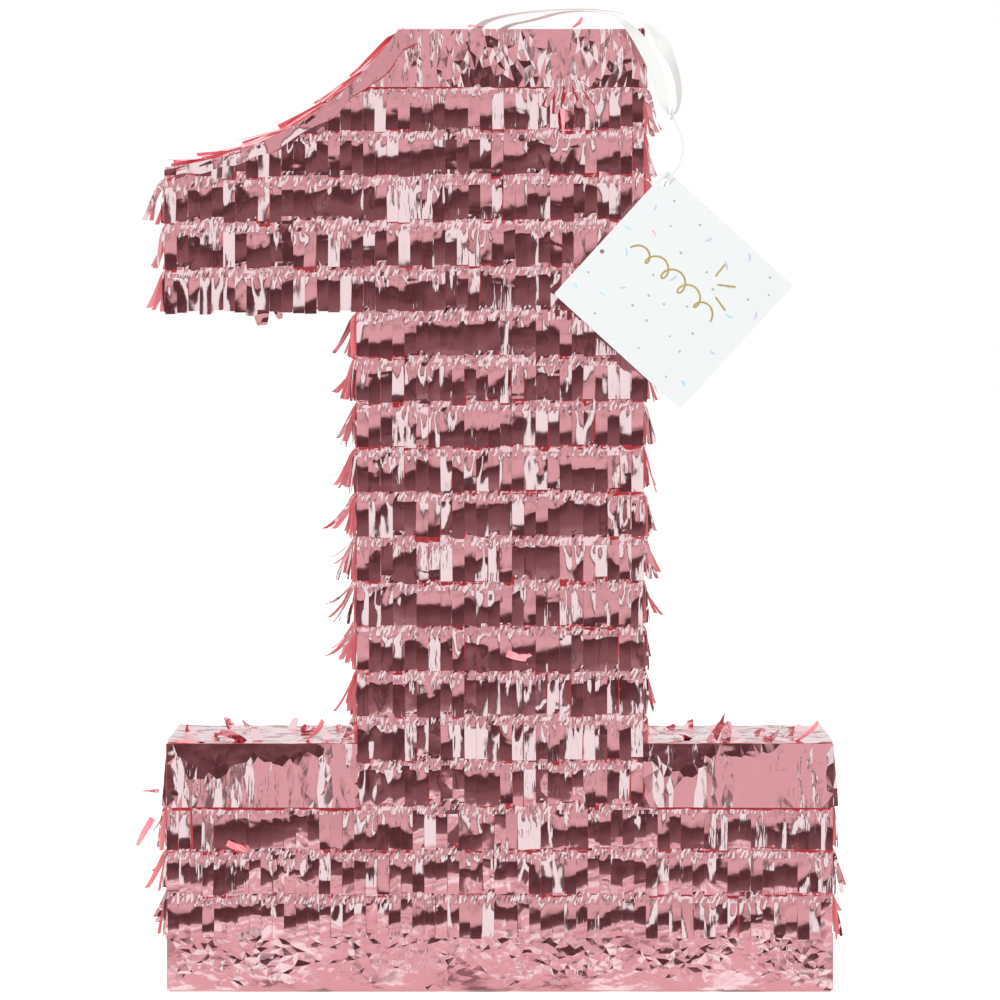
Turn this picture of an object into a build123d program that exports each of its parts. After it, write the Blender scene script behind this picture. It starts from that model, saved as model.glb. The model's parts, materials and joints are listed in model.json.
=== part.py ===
from build123d import *

import os
from math import atan2, cos, degrees, hypot, pi, radians, sin

# A party pinata in the shape of the number one. A hollow cardboard carcass stands on its base, rows of slit
# foil hang round it like roof tiles, a flap in the back takes the sweets, and a ribbon and a folded tag hang
# from the crown. Millimetres. The front faces -Y, up is +Z, and the origin is under the middle of the base.

# Carcass outline, seen from the front
carcass_depth = 75.0
base_half = 144.8  # half the foot's width
shoulder_z = 108.5  # top of the foot
stem_half = 61.8
arm_reach = 144.8  # tip of the arm, left of the middle
arm_end_height = 59.6  # the arm's short upright end
slope_rise = 60.1  # from the arm's end up to the crown
slope_sag = 12.7  # how far the slope is hollowed below a straight line
crown_left = -43.3  # where the slope meets the crown
crown_z = 419.2

# Board and tape
panel = 3.0  # the two number-shaped faces
wall = 2.0  # the strips that join them
tape = 0.2
tape_leg = 12.0  # how far an edge tape reaches on each side of its edge

# Foil
foil_lift = 0.3  # from the board to the foil's inner side, which leaves room for the tape
foil_sheet = 0.5
tip_stand = 2.7  # how far the slit tips stand off the board
band_stand = 1.3  # how far the crumpled bands stand off the board
tuck = 4.0  # the glued top edge of a row, hidden under the row above
lap_gap = 0.1  # between that edge and the row above
row_count = 19
base_rows = 3  # rows that run round the foot
top_band_height = 24.5
bottom_wrap_height = 24.0
slope_rows = 6
clear = 0.3  # between neighbours that must not touch

# Fill door, a flap in the back of the stem
door_half = 40.0
door_first_row = 7
door_rows = 4
door_gap = 0.5
fold_gap = 1.5  # from the fold to the door's own foil
fold_room = 3.5  # from the fold to the foil round the door
thumb_radius = 9.0

# Hanger
slot_x = -6.2
slot_length = 20.0
slot_width = 5.0
card_length = 44.0
card_width = 32.0
card_thickness = 1.5
stick_diameter = 6.0
stick_length = 38.0
knot_length = 18.0
knot_size = 10.0
knot_drop = 0.4  # from the card to the knot
ribbon_diameter = 1.6  # the round cord with about the ribbon's section
thread_diameter = 0.7

# Tag, a card folded along its upper left edge
tag_x = 74.6
tag_z = 306.9
tag_y = -49.6  # between its two leaves
tag_tilt = 42.4  # degrees clockwise
tag_width = 74.0  # from the fold to the open edge
tag_height = 72.0
tag_corner = 1.0
leaf = 0.4
leaf_gap = 0.4
spine_gap = 0.3  # from the fold line to each leaf
hole_radius = 1.9
hole_inset = 3.5  # from the fold
hole_drop = 4.5  # from the top edge

# The ribbon's route, from the knot up through the crown, over the front corner, round its fold and back
ribbon_route = [
    (-11.6, -0.4, 415.3),
    (-11.6, -0.4, 423.0),
    (0.0, -6.0, 427.5),
    (21.0, -15.0, 429.5),
    (43.0, -30.0, 429.0),
    (61.0, -44.5, 424.5),
    (71.5, -49.2, 411.0),
    (76.5, -49.8, 398.5),
    (77.4, -49.6, 389.5),
    (76.2, -49.6, 382.2),
    (72.0, -49.6, 382.2),
    (70.6, -49.6, 387.8),
    (68.5, -49.6, 397.0),
    (64.0, -49.4, 407.5),
    (57.0, -47.5, 419.0),
    (47.0, -39.5, 427.0),
    (29.0, -24.5, 428.5),
    (14.0, -10.5, 425.0),
    (4.5, -4.2, 423.8),
    (-1.5, -0.8, 420.2),
    (-1.5, -0.8, 415.3),
]

# The thread's route, from its tail behind the ribbon over the ribbon's fold and down through the tag's hole
thread_route = [
    (74.1, -47.7, 380.4),
    (74.1, -47.6, 384.3),
    (74.1, -51.5, 384.3),
    (75.0, -51.9, 379.0),
    (78.0, -52.1, 373.5),
    (79.0, -52.0, 366.2),
    (76.6, -51.9, 359.0),
    (71.9, -51.8, 353.6),
    (71.1, -48.0, 352.75),
    (70.6, -47.6, 349.6),
]

# Heights and places that follow
floor_z = foil_sheet + foil_lift
half_depth = carcass_depth / 2
foil_top = crown_z + foil_lift + foil_sheet
row_pitch = (foil_top - top_band_height - bottom_wrap_height) / row_count
arm_tip_z = crown_z - slope_rise
arm_under_z = arm_tip_z - arm_end_height
beyond = 50.0  # how far cutting blocks run past the object
lapped = foil_lift + foil_sheet + lap_gap  # room over a tucked edge

slope_foot = (-arm_reach, arm_tip_z)
slope_top = (crown_left, crown_z)
slope_run = crown_left + arm_reach
slope_chord = hypot(slope_run, slope_rise)
slope_radius = (slope_chord**2 / 4 + slope_sag**2) / (2 * slope_sag)
slope_centre = (
    (crown_left - arm_reach) / 2 - (slope_radius - slope_sag) * slope_rise / slope_chord,
    crown_z - slope_rise / 2 + (slope_radius - slope_sag) * slope_run / slope_chord,
)

os.makedirs("parts", exist_ok=True)


def row_bottom(row):
    """Height of a row's tips; row 0 is the band round the crown."""
    return foil_top - top_band_height - row * row_pitch


def save(piece, name):
    """Label a finished piece and write it."""
    piece.part.label = name
    export_step(piece.part, f"parts/{name}.step")


def block(x_low, x_high, y_low, y_high, z_low, z_high, mode=Mode.ADD):
    """Add or cut a square-cornered block between six planes."""
    with Locations(((x_low + x_high) / 2, (y_low + y_high) / 2, (z_low + z_high) / 2)):
        Box(x_high - x_low, y_high - y_low, z_high - z_low, mode=mode)


def outline(y, grow=0.0):
    """The carcass outline in an upright plane at y, grown by an even margin."""
    with BuildSketch(Plane.XZ.offset(-y)) as face:
        with BuildLine():
            Polyline(
                slope_top,
                (stem_half, crown_z),
                (stem_half, shoulder_z),
                (base_half, shoulder_z),
                (base_half, floor_z),
                (-base_half, floor_z),
                (-base_half, shoulder_z),
                (-stem_half, shoulder_z),
                (-stem_half, arm_under_z),
                (-arm_reach, arm_under_z),
                slope_foot,
            )
            SagittaArc(slope_foot, slope_top, -slope_sag)
        make_face()
        if grow:
            offset(amount=grow, kind=Kind.INTERSECTION)
    return face.sketch


def cut_above_slope():
    """Cut away what lies over the slope, which the slope's own foil covers."""
    with BuildSketch(Plane.XZ) as sky:
        with BuildLine():
            Polyline(
                slope_foot,
                (-arm_reach - beyond, arm_tip_z),
                (-arm_reach - beyond, foil_top + beyond),
                (crown_left, foil_top + beyond),
                slope_top,
            )
            SagittaArc(slope_foot, slope_top, -slope_sag)
        make_face()
    extrude(sky.sketch, amount=carcass_depth, both=True, mode=Mode.SUBTRACT)


def cut_slot(z_low, z_high):
    """Cut the ribbon's slot through whatever lies between two heights."""
    with BuildSketch(Plane.XY.offset(z_low)) as hole:
        with Locations((slot_x, 0)):
            SlotOverall(slot_length, slot_width)
    extrude(hole.sketch, amount=z_high - z_low, mode=Mode.SUBTRACT)


def wrap(left, right, low, high, low_stand, high_stand, mode=Mode.ADD):
    """Add or cut a block round the carcass that stands off it by one margin below and one above."""
    with BuildSketch(Plane.XY.offset(low)) as plan:
        with Locations(((left + right) / 2, 0)):
            Rectangle(right - left + 2 * low_stand, carcass_depth + 2 * low_stand)
    lean = degrees(atan2(low_stand - high_stand, high - low))
    extrude(plan.sketch, amount=high - low, taper=lean, mode=mode)


def hollow(left, right, low, high, laps=True):
    """Cut out the board's room and, at the lower edge, room for the tucked edge of the band below."""
    wrap(left, right, low - tuck, high, foil_lift, foil_lift, mode=Mode.SUBTRACT)
    if laps:
        wrap(left, right, low - tuck, low + tuck + clear, lapped, lapped, mode=Mode.SUBTRACT)


def foil_ring(left, right, low, high, low_stand, high_stand, laps=True):
    """Add a band of foil round the carcass, with a glued top edge that runs on under the band above."""
    wrap(left, right, low, high, low_stand, high_stand)
    wrap(left, right, high, high + tuck, foil_lift + foil_sheet, foil_lift + foil_sheet)
    hollow(left, right, low, high + 2 * tuck, laps)


# ---- Carcass: two number-shaped panels with strips of board between them

door_low = row_bottom(door_first_row + door_rows - 1)
door_high = row_bottom(door_first_row - 1)
door_middle = (door_low + door_high) / 2

with BuildPart() as front_panel:
    extrude(outline(-half_depth + panel), amount=panel)
save(front_panel, "front_panel")

with BuildPart() as back_panel:
    extrude(outline(half_depth), amount=panel)
    block(
        -door_half,
        door_half + door_gap,
        half_depth - 2 * panel,
        half_depth + panel,
        door_low,
        door_high,
        mode=Mode.SUBTRACT,
    )
    with BuildSketch(Plane.XZ.offset(-half_depth - panel)):
        with Locations((door_half + door_gap, door_middle)):
            Circle(thumb_radius)
    extrude(amount=3 * panel, mode=Mode.SUBTRACT)
save(back_panel, "back_panel")

gap_low = -half_depth + panel
gap_high = half_depth - panel
base_inner = base_half - wall
stem_inner = stem_half - wall
wall_boxes = {
    "base_floor": (-base_half, base_half, floor_z, floor_z + wall),
    "base_left_wall": (-base_half, -base_inner, floor_z + wall, shoulder_z),
    "base_right_wall": (base_inner, base_half, floor_z + wall, shoulder_z),
    "left_shoulder_wall": (-base_inner, -stem_half, shoulder_z - wall, shoulder_z),
    "right_shoulder_wall": (stem_half, base_inner, shoulder_z - wall, shoulder_z),
    "stem_left_wall": (-stem_half, -stem_inner, shoulder_z - wall, arm_under_z + wall),
    "stem_right_wall": (stem_inner, stem_half, shoulder_z - wall, crown_z),
    "arm_under_wall": (-arm_reach + wall, -stem_half, arm_under_z, arm_under_z + wall),
}
for name, (x_low, x_high, z_low, z_high) in wall_boxes.items():
    with BuildPart() as strip:
        block(x_low, x_high, gap_low, gap_high, z_low, z_high)
    save(strip, name)

with BuildPart() as arm_end_wall:
    block(-arm_reach, -arm_reach + wall, gap_low, gap_high, arm_under_z, arm_tip_z + slope_sag)
    cut_above_slope()
save(arm_end_wall, "arm_end_wall")

with BuildPart() as top_wall:
    block(crown_left, stem_inner, gap_low, gap_high, crown_z - wall, crown_z)
    cut_slot(crown_z - 2 * wall, crown_z + wall)
save(top_wall, "top_wall")

with BuildPart() as slope_wall:
    extrude(outline(gap_high), amount=gap_high - gap_low)
    extrude(outline(gap_high, -wall), amount=gap_high - gap_low, mode=Mode.SUBTRACT)
    block(
        -arm_reach + wall,
        crown_left,
        gap_low,
        gap_high,
        arm_tip_z - 2 * wall,
        crown_z,
        mode=Mode.INTERSECT,
    )
save(slope_wall, "slope_wall")

# ---- Paper tape over the edges of both faces

with BuildPart() as front_edge_tape:
    extrude(outline(-half_depth + tape_leg, tape), amount=tape_leg + tape)
    extrude(outline(-half_depth + tape_leg), amount=tape_leg, mode=Mode.SUBTRACT)
    extrude(outline(-half_depth, -tape_leg), amount=tape, mode=Mode.SUBTRACT)
save(front_edge_tape, "front_edge_tape")

with BuildPart() as back_edge_tape:
    mirror(front_edge_tape.part, about=Plane.XZ)
save(back_edge_tape, "back_edge_tape")

# ---- Foil rows, counted down from the crown

first_base_row = row_count - base_rows + 1
shoulder_lap_z = row_bottom(first_base_row - 1)
for row in range(1, row_count + 1):
    low = row_bottom(row)
    high = row_bottom(row - 1)
    on_arm = high - arm_under_z > row_pitch / 2
    on_base = row >= first_base_row
    left = -base_half if on_base else -arm_reach if on_arm else -stem_half
    right = base_half if on_base else stem_half
    with BuildPart() as fringe_row:
        foil_ring(left, right, low, high, tip_stand, foil_lift + foil_sheet)
        if high + tuck > arm_tip_z:
            cut_above_slope()
        if not on_arm and high + tuck > arm_under_z - foil_lift:
            # the row under the arm has no room to tuck on that side
            block(
                -arm_reach,
                -stem_half,
                -half_depth - foil_lift,
                half_depth + foil_lift,
                min(high, arm_under_z - foil_lift - foil_sheet - clear),
                high + 2 * tuck,
                mode=Mode.SUBTRACT,
            )
        if not on_base and low < shoulder_z + band_stand + clear:
            # rows that run on down the foot cover its front and back only
            for side in (-1, 1):
                near, far = sorted((side * stem_half, side * (base_half + beyond)))
                block(
                    near,
                    far,
                    -half_depth - foil_lift,
                    half_depth + foil_lift,
                    low - tuck,
                    shoulder_z + band_stand + clear,
                    mode=Mode.SUBTRACT,
                )
            block(
                -stem_half - tip_stand,
                stem_half + tip_stand,
                -half_depth - lapped,
                half_depth + lapped,
                low,
                low + tuck + clear,
                mode=Mode.SUBTRACT,
            )
        if door_first_row <= row <= door_first_row + door_rows:
            # the door carries its own foil, and nothing is tucked under its lowest tips
            block(
                -door_half - fold_room,
                door_half + door_gap,
                half_depth,
                half_depth + beyond,
                door_low,
                door_high,
                mode=Mode.SUBTRACT,
            )
    save(fringe_row, f"fringe_row_{row:02d}")

# ---- Foil bands and sheets

with BuildPart() as top_band:
    wrap(-arm_reach, stem_half, row_bottom(0), foil_top, band_stand, band_stand)
    hollow(-arm_reach, stem_half, row_bottom(0), crown_z + foil_lift)
    cut_above_slope()
    cut_slot(crown_z, foil_top + tuck)
save(top_band, "top_band")

with BuildPart() as bottom_wrap:
    foil_ring(
        -base_half,
        base_half,
        foil_sheet + clear,
        row_bottom(row_count),
        band_stand,
        band_stand,
        laps=False,
    )
save(bottom_wrap, "bottom_wrap")

with BuildPart() as bottom_foil:
    block(-base_half, base_half, -half_depth, half_depth, 0, foil_sheet)
save(bottom_foil, "bottom_foil")

with BuildPart() as right_shoulder_foil:
    block(
        stem_half + tip_stand + clear,
        base_half + band_stand,
        -half_depth - band_stand,
        half_depth + band_stand,
        shoulder_lap_z,
        shoulder_z + band_stand,
    )
    block(
        stem_half + foil_lift,
        stem_half + tip_stand + clear,
        -half_depth - foil_lift,
        half_depth + foil_lift,
        shoulder_z + foil_lift,
        shoulder_z + band_stand,
    )
    hollow(stem_half, base_half, shoulder_lap_z, shoulder_z + foil_lift)
save(right_shoulder_foil, "right_shoulder_foil")

with BuildPart() as left_shoulder_foil:
    mirror(right_shoulder_foil.part, about=Plane.YZ)
save(left_shoulder_foil, "left_shoulder_foil")

with BuildPart() as arm_underside_foil:
    block(
        -arm_reach,
        -stem_half - foil_lift,
        -half_depth,
        half_depth,
        arm_under_z - foil_lift - foil_sheet,
        arm_under_z - foil_lift,
    )
save(arm_underside_foil, "arm_underside_foil")


def slope_point(stand, angle):
    """A point over the slope, at a distance off the board and an angle about the slope's centre."""
    radius = slope_radius - stand
    return (slope_centre[0] + radius * cos(angle), slope_centre[1] + radius * sin(angle))


foot_angle = atan2(slope_foot[1] - slope_centre[1], slope_foot[0] - slope_centre[0])
top_angle = atan2(slope_top[1] - slope_centre[1], slope_top[0] - slope_centre[0])
slope_step = (top_angle - foot_angle) / slope_rows
step_gap = clear / slope_radius  # the angle between one strip and the next

with BuildPart() as slope_fringe:
    for strip_number in range(slope_rows):
        tip = foot_angle + strip_number * slope_step
        root = tip + slope_step - step_gap
        with BuildSketch(Plane.XZ):
            with BuildLine():
                Polyline(
                    slope_point(foil_lift, tip),
                    slope_point(tip_stand, tip),
                    slope_point(foil_lift + foil_sheet, root),
                    slope_point(foil_lift, root),
                    close=True,
                )
            make_face()
        extrude(amount=half_depth, both=True)
save(slope_fringe, "slope_fringe")

# ---- Fill door: a flap of the back panel, folded along its left edge, with its own rows of foil

with BuildPart() as door_panel:
    block(
        -door_half + clear,
        door_half,
        half_depth - panel,
        half_depth,
        door_low + door_gap,
        door_high - door_gap,
    )
save(door_panel, "door_panel")

with BuildPart() as door_fringe:
    for row in range(door_first_row, door_first_row + door_rows):
        low = row_bottom(row) + clear
        high = row_bottom(row - 1) - (door_gap if row == door_first_row else 0)
        top = high if row == door_first_row else high + tuck
        with BuildSketch(Plane.YZ.offset(-door_half + fold_gap)):
            with BuildLine():
                Polyline(
                    (half_depth + foil_lift, top),
                    (half_depth + foil_lift, low + tuck + clear),
                    (half_depth + lapped, low + tuck + clear),
                    (half_depth + lapped, low),
                    (half_depth + tip_stand, low),
                    (half_depth + lapped, high),
                    (half_depth + foil_lift + foil_sheet, high),
                    (half_depth + foil_lift + foil_sheet, top + lap_gap),
                    (half_depth + foil_lift, top + lap_gap),
                    close=True,
                )
            make_face()
        extrude(amount=2 * door_half - fold_gap)
save(door_fringe, "door_fringe")

# ---- Hanger: a card and a stick under the crown, and the ribbon tied round the stick

card_low = crown_z - wall - card_thickness
knot_top = card_low - knot_drop
stick_z = knot_top - knot_size / 2

with BuildPart() as anchor_card:
    block(
        slot_x - card_length / 2,
        slot_x + card_length / 2,
        -card_width / 2,
        card_width / 2,
        card_low,
        card_low + card_thickness,
    )
    cut_slot(card_low - 1, crown_z)
save(anchor_card, "anchor_card")

with BuildPart() as anchor_stick:
    with BuildSketch(Plane.YZ.offset(slot_x - stick_length / 2)):
        with Locations((0, stick_z)):
            Circle(stick_diameter / 2)
    extrude(amount=stick_length)
    chamfer(anchor_stick.edges().filter_by(GeomType.CIRCLE), length=stick_diameter / 12)
save(anchor_stick, "anchor_stick")

with BuildPart() as ribbon_knot:
    with BuildSketch(Plane.YZ.offset(slot_x - knot_length / 2)):
        with Locations((0, stick_z)):
            Rectangle(knot_size, knot_size)
            Circle(stick_diameter / 2 + lap_gap, mode=Mode.SUBTRACT)
    extrude(amount=knot_length)
    fillet(ribbon_knot.faces().sort_by(Axis.Z)[0].edges().filter_by(Axis.X), radius=knot_size / 8)
save(ribbon_knot, "ribbon_knot")


def cord_radii(route):
    """The largest arc that each corner of a route leaves room for."""
    radii = []
    for before, corner, after in zip(route, route[1:], route[2:]):
        run_in = Vector(*corner) - Vector(*before)
        run_out = Vector(*after) - Vector(*corner)
        half_turn = radians(run_in.get_angle(run_out)) / 2
        radii.append(0.45 * min(run_in.length, run_out.length) * cos(half_turn) / sin(half_turn))
    return radii


def lay_cord(route, diameter, name):
    """Sweep a round cord along a route of straight runs joined by arcs, write it and report its shape."""
    radii = cord_radii(route)
    with BuildPart() as cord:
        with BuildLine() as path:
            FilletPolyline(*route, radius=radii)
        with BuildSketch(Plane(origin=path.line @ 0, z_dir=path.line % 0)):
            Circle(diameter / 2)
        sweep(transition=Transition.RIGHT)
    length = sum(edge.length for edge in path.line.edges())
    section = pi * diameter**2 / 4
    print(name, "length", round(length, 1), "radii", [round(radius, 1) for radius in radii])
    print(name, "volume over section", round(cord.part.volume / section, 1))
    save(cord, name)


lay_cord(ribbon_route, ribbon_diameter, "hanging_ribbon")
lay_cord(thread_route, thread_diameter, "tag_thread")

# ---- Tag: two leaves of card, joined along the fold and hung by the corner

lean = radians(tag_tilt)


def tag_plane(y):
    """The tag's own plane at y, with x across from the fold and y up along it, seen from the front."""
    return Plane(origin=(tag_x, y, tag_z), x_dir=(cos(lean), 0, -sin(lean)), z_dir=(0, -1, 0))


hole_place = (-tag_width / 2 + hole_inset, tag_height / 2 - hole_drop)
leaf_middle = (spine_gap / 2, 0)

with BuildPart() as tag_back_leaf:
    with BuildSketch(tag_plane(tag_y + leaf_gap / 2 + leaf)):
        with Locations(leaf_middle):
            RectangleRounded(tag_width - spine_gap, tag_height, tag_corner)
        with Locations(hole_place):
            Circle(hole_radius, mode=Mode.SUBTRACT)
    extrude(amount=leaf)
save(tag_back_leaf, "tag_back_leaf")

with BuildPart() as tag_front_leaf:
    with BuildSketch(tag_plane(tag_y - leaf_gap / 2)):
        with Locations(leaf_middle):
            RectangleRounded(tag_width - spine_gap, tag_height, tag_corner)
        # the hole runs out through the top edge, so that the leaf can open past the thread
        with Locations(hole_place):
            Circle(hole_radius, mode=Mode.SUBTRACT)
        with Locations((hole_place[0], hole_place[1] + hole_drop)):
            Rectangle(2 * hole_radius, 2 * hole_drop, mode=Mode.SUBTRACT)
    extrude(amount=leaf)
save(tag_front_leaf, "tag_front_leaf")
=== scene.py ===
import json
import random
from math import atan2, cos, exp, hypot, pi, radians, sin, sqrt

import bmesh
import bpy
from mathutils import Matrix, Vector, noise


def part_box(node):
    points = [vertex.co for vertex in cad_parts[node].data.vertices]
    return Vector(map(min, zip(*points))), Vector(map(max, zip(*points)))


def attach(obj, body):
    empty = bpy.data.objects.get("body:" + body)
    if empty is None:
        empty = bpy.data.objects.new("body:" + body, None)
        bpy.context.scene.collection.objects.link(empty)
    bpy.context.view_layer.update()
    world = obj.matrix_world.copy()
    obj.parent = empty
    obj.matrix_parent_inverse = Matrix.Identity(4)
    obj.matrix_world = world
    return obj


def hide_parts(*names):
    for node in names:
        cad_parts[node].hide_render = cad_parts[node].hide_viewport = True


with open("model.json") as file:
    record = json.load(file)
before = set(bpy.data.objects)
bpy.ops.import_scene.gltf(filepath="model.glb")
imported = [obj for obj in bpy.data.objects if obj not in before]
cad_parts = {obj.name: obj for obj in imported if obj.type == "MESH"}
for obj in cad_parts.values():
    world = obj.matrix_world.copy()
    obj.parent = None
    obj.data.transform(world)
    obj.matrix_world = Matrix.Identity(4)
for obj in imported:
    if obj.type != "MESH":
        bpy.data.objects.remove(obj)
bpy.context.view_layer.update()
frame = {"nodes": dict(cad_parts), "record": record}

X, Y, Z = Vector((1, 0, 0)), Vector((0, 1, 0)), Vector((0, 0, 1))
MM = 0.001


def low(node):
    """Lowest corner of a CAD node's box."""
    return Vector(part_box(node)[0])


def high(node):
    """Highest corner of a CAD node's box."""
    return Vector(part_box(node)[1])


# ---- Driving sizes, in metres, from the frame where it has them

HALF_DEPTH = high("back_panel").y
STEM_HALF = high("stem_right_wall").x
BASE_HALF = high("base_right_wall").x
SHOULDER_Z = high("right_shoulder_wall").z
CROWN_Z = high("top_wall").z
CROWN_LEFT = low("top_wall").x
ARM_TIP_Z = high("arm_end_wall").z
FOIL_TOP = high("top_band").z
ROW_COUNT = 19
LAST_STEM_ROW = ROW_COUNT - 3  # it has the shoulders at its sides
TIP_STAND = 2.7 * MM
SLOPE_SAG = 12.7 * MM
LIFT = 0.45 * MM  # from the board to the glued foil
TAB_WIDTH = 5.1 * MM
LOOSE_WIDTH = 0.78  # a loose strip's width, as a share of a tab's
FOIL_THICK = 0.05 * MM
DOOR_LEFT = low("door_fringe").x
DOOR_RIGHT = high("door_fringe").x
DOOR_ROWS = range(7, 11)
DOOR_FOOT = low("door_panel").z
NEAR_FOLD = 2.1 * MM  # how far foil beside the door's fold may stand off
RIBBON_WIDTH = 5.5 * MM
THREAD_WIDTH = 0.7 * MM


# ---- Camera and cords come first

def add_object(name, data):
    """A new object in the scene."""
    thing = bpy.data.objects.new(name, data)
    bpy.context.collection.objects.link(thing)
    return thing


def aim_at(thing, height):
    """Turn a camera or a lamp towards the pinata's middle line."""
    way = Vector((0, 0, height)) - thing.location
    thing.rotation_euler = way.to_track_quat("-Z", "Y").to_euler()


CAMERA_AWAY = 1.787
CAMERA_Z = 0.300
AIM_Z = 0.2137
LENS = 144.9


def add_camera():
    """A long lens a little above the middle of the pinata."""
    lens = bpy.data.cameras.new("camera")
    lens.sensor_width = 36.0
    lens.lens = LENS
    lens.clip_end = 50.0
    camera = add_object("camera", lens)
    camera.location = (0, -CAMERA_AWAY, CAMERA_Z)
    aim_at(camera, AIM_Z)
    bpy.context.scene.camera = camera


RIBBON_ROUTE = [  # in millimetres, from the knot and back to it
    (-11.6, -0.4, 415.3), (-11.6, -0.4, 423.0), (0.0, -6.0, 427.5), (21.0, -15.0, 429.5),
    (43.0, -30.0, 429.0), (61.0, -44.5, 424.5), (71.5, -49.2, 411.0), (76.5, -49.8, 398.5),
    (77.4, -49.6, 389.5), (76.2, -49.6, 382.2), (72.0, -49.6, 382.2), (70.6, -49.6, 387.8),
    (68.5, -49.6, 397.0), (64.0, -49.4, 407.5), (57.0, -47.5, 419.0), (47.0, -39.5, 427.0),
    (29.0, -24.5, 428.5), (14.0, -10.5, 425.0), (4.5, -4.2, 423.8), (-1.5, -0.8, 420.2),
    (-1.5, -0.8, 415.3),
]
THREAD_ROUTE = [  # in millimetres, from the ribbon's fold to the tag's hole
    (74.1, -47.7, 380.4), (74.1, -47.6, 384.3), (74.1, -51.5, 384.3), (75.0, -51.9, 379.0),
    (78.0, -52.1, 373.5), (79.0, -52.0, 366.2), (76.6, -51.9, 359.0), (71.9, -51.8, 353.6),
    (71.1, -48.0, 352.75), (70.6, -47.6, 349.6),
]


FOLD_Z = 0.3825  # where the ribbon turns back up and is pinched
GUIDE_STEPS = 12


def lay_curve(name, route):
    """A smooth open curve with the route's points as its control points."""
    curve = bpy.data.curves.new(name, "CURVE")
    curve.dimensions = "3D"
    curve.resolution_u = GUIDE_STEPS
    spline = curve.splines.new("NURBS")
    spline.points.add(len(route) - 1)
    for point, place in zip(spline.points, route):
        point.co = (*(Vector(place) * MM), 1)
    spline.order_u = 3
    spline.use_endpoint_u = True
    return add_object(name, curve)


def as_mesh(guide):
    """The mesh of a guide curve, whose object is taken away."""
    bpy.context.view_layer.update()
    mesh = bpy.data.meshes.new_from_object(guide)
    bpy.data.objects.remove(guide)
    return mesh


def points_along(name, route):
    """The points of a bare curve along a route, in order, and their whole length."""
    line = as_mesh(lay_curve(name, route))
    points = [vertex.co.copy() for vertex in line.vertices]
    bpy.data.meshes.remove(line)
    length = sum((b - a).length for a, b in zip(points, points[1:]))
    return points, length


def wobble(x, y, z):
    """Smooth noise at a point, from about -1 to 1."""
    return noise.noise(Vector((x, y, z)))


def lay_grid(bm, columns, rows):
    """Add a flat sheet of faces, 1 by 1 about the origin, and return its vertices."""
    return bmesh.ops.create_grid(bm, x_segments=columns, y_segments=rows, size=0.5)["verts"]


def faces_of(vertices):
    """The faces that the vertices belong to."""
    return {face for vertex in vertices for face in vertex.link_faces}


def mesh_object(name, bm):
    """Turn a finished bmesh into an object."""
    mesh = bpy.data.meshes.new(name)
    bm.to_mesh(mesh)
    bm.free()
    return add_object(name, mesh)


def new_piece(name, bm, body, slot, materials, *replaced, smooth=True):
    """Turn a finished mesh into a piece that rides on a body. With smooth None each face keeps its own."""
    if smooth is not None:
        for face in bm.faces:
            face.smooth = smooth
    piece = mesh_object(name, bm)
    for material in materials:
        piece.data.materials.append(material)
    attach(piece, body)
    if replaced:
        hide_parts(*replaced)
    return piece


def thicken(piece, thickness, inner_material=0):
    """Give a sheet its thickness, with its other side in another finish if it has one."""
    solidify = piece.modifiers.new("thickness", "SOLIDIFY")
    solidify.thickness = thickness
    solidify.offset = -1
    solidify.material_offset = inner_material
    solidify.material_offset_rim = inner_material
    crisp = piece.modifiers.new("crisp_rim", "EDGE_SPLIT")
    crisp.split_angle = radians(55)


def foil_piece(name, bm, *replaced, body="shell", smooth=True):
    """A piece of thin foil: rose on the side that faces out, and the film's red back on the other."""
    piece = new_piece(name, bm, body, "pink_foil", FOIL_PAIR, *replaced, smooth=smooth)
    thicken(piece, FOIL_THICK, 1)


def make_ribbon(material):
    """A flat satin ribbon along its route: it lies on its face over the crown and turns to show its face
    where it drops past the corner."""
    points, length = points_along("ribbon_guide", RIBBON_ROUTE)
    count = len(points)
    bm = bmesh.new()
    grid = lay_grid(bm, count - 1, 4)
    sides = []
    side = X.copy()
    for i, point in enumerate(points):
        along = (points[min(i + 1, count - 1)] - points[max(i - 1, 0)]).normalized()
        drop = 0
        if point.x > STEM_HALF * 0.6:
            drop = min(max((FOIL_TOP + 2 * MM - point.z) / (12 * MM), 0), 1)
        share = i / (count - 1)
        facing = Vector((1, 0.15, 0)) if share > 0.5 else Vector((0.45, -0.9, 0))
        wish = Vector((0.5, 0.85, 0)).lerp(facing, drop)
        if i > 0 and wish.dot(side) < 0:
            wish = -wish
        wish = wish - along * wish.dot(along)
        side = side * 0.8 + wish.normalized() * 0.2
        side = (side - along * side.dot(along)).normalized()
        sides.append((point, side, along.cross(side)))
    for vertex in grid:
        i = round((vertex.co.x + 0.5) * (count - 1))
        point, side, face = sides[i]
        across = vertex.co.y
        pinch = 1 - 0.55 * exp(-((point.z - FOLD_Z) / (6 * MM)) ** 2)
        cup = 0.35 * MM * (4 * across * across - 0.5)
        vertex.co = point + side * across * RIBBON_WIDTH * pinch + face * cup
    bmesh.ops.recalc_face_normals(bm, faces=bm.faces)
    ribbon = new_piece("satin_ribbon", bm, "shell", "ribbon_satin", [material], "hanging_ribbon")
    thicken(ribbon, 0.18 * MM)


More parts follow.
